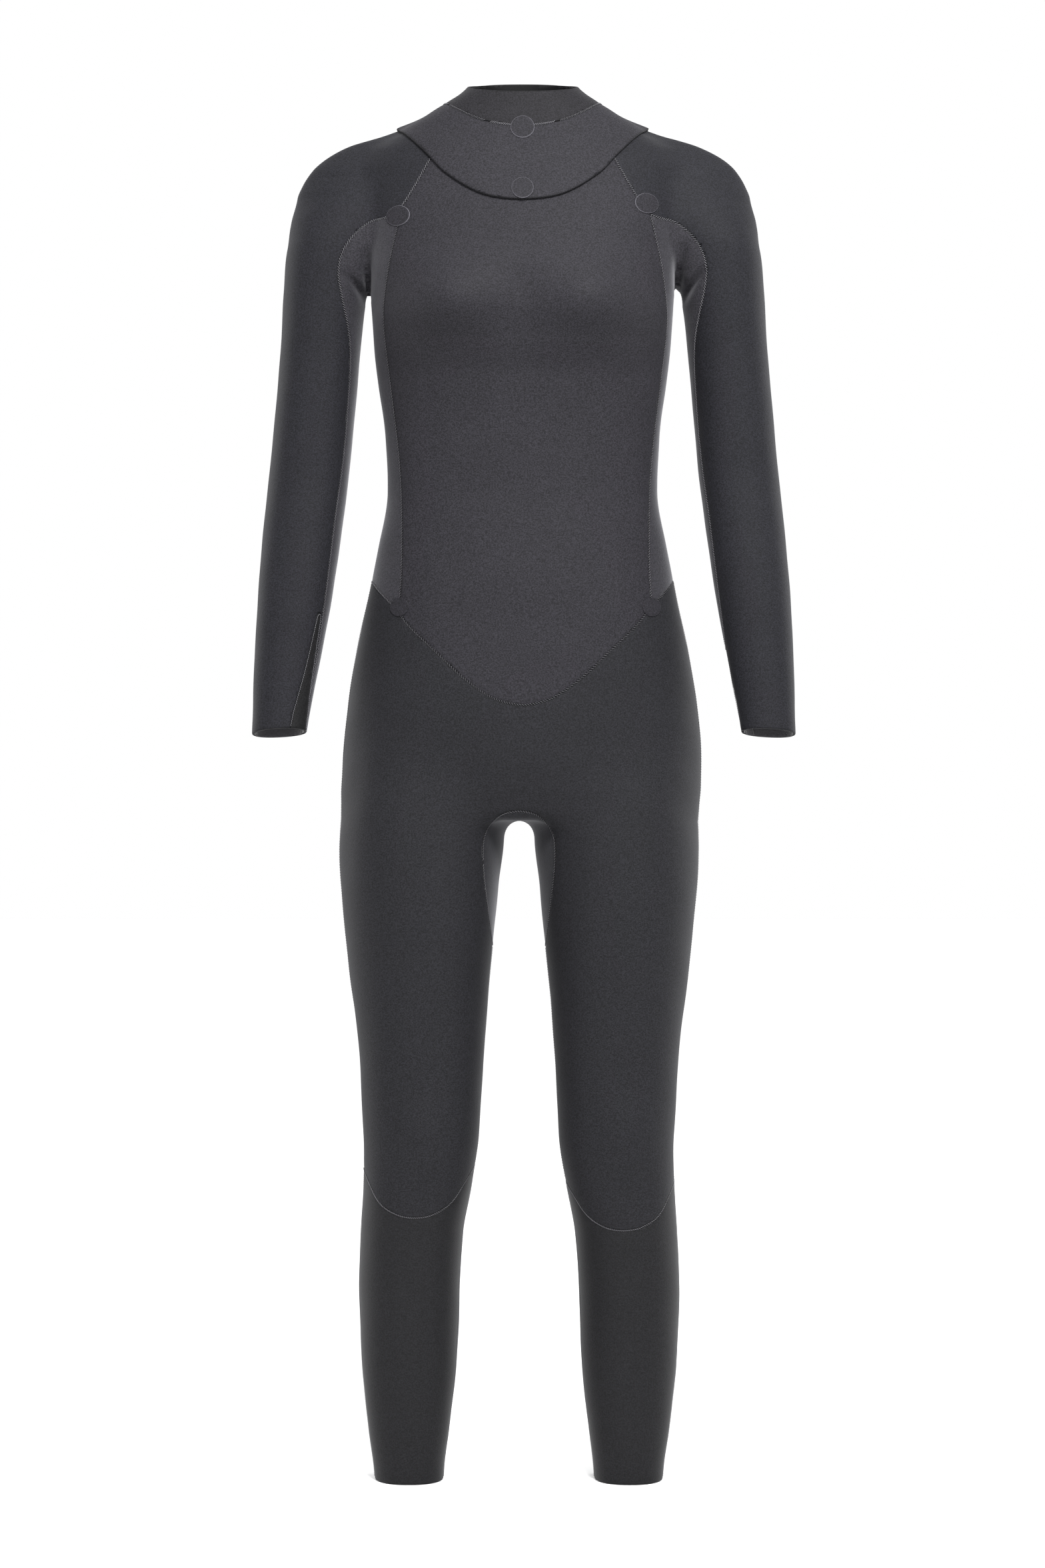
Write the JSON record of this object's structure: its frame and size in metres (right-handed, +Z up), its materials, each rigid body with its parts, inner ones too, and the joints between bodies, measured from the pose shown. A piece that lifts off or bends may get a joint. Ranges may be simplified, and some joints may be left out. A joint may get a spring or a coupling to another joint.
{
  "type": "full wetsuit",
  "caption": "Full-length neoprene wetsuit with long sleeves and legs, a mock-neck collar and a curved chest flap that folds back over the shoulders to open the neck.",
  "frame": {"origin": "on the garment's middle, midway between its front and back, at the level of the ankle hems", "axes": "+Z up along the standing wearer, +X to the wearer's left, +Y to the wearer's back, so the chest faces -Y"},
  "size_m": [0.546, 0.237, 1.4292],
  "materials": {
    "torso_jersey": "matte knitted nylon jersey on neoprene foam",
    "sleeve_jersey": "matte knitted nylon jersey on neoprene foam",
    "lower_jersey": "matte knitted nylon jersey on neoprene foam",
    "shin_jersey": "matte hard-wearing knitted jersey on neoprene foam",
    "wrist_wedge": "matte stretch jersey, darker than the sleeve",
    "patch": "thin heat-pressed stretch patch, satin, with a pale rim",
    "smooth_skin": "smooth-skin neoprene, black, soft sheen"
  },
  "bodies": {
    "suit": {"front_panel": "torso_jersey", "back_panel": "torso_jersey", "side_panel_right": "torso_jersey", "side_panel_left": "torso_jersey", "sleeve_right": "sleeve_jersey", "sleeve_left": "sleeve_jersey", "wrist_wedge_right": "wrist_wedge", "wrist_wedge_left": "wrist_wedge", "hips_front": "lower_jersey", "seat_panel": "lower_jersey", "crotch_gusset": "lower_jersey", "shin_panel_right": "shin_jersey", "shin_panel_left": "shin_jersey", "calf_panel_right": "shin_jersey", "calf_panel_left": "shin_jersey", "chest_patch_right": "patch", "chest_patch_left": "patch", "hip_patch_right": "patch", "hip_patch_left": "patch"},
    "neck_yoke": {"collar": "torso_jersey", "yoke_flap": "torso_jersey", "yoke_back": "torso_jersey", "neck_seal": "smooth_skin", "collar_patch": "patch", "flap_patch": "patch"}
  },
  "joints": [
    {"name": "yoke_fold", "type": "hinge", "parent": "suit", "child": "neck_yoke", "pos_m": [0, 0.0915, 1.325], "axis": [-1, 0, 0], "range_deg": [0, 100]}
  ]
}
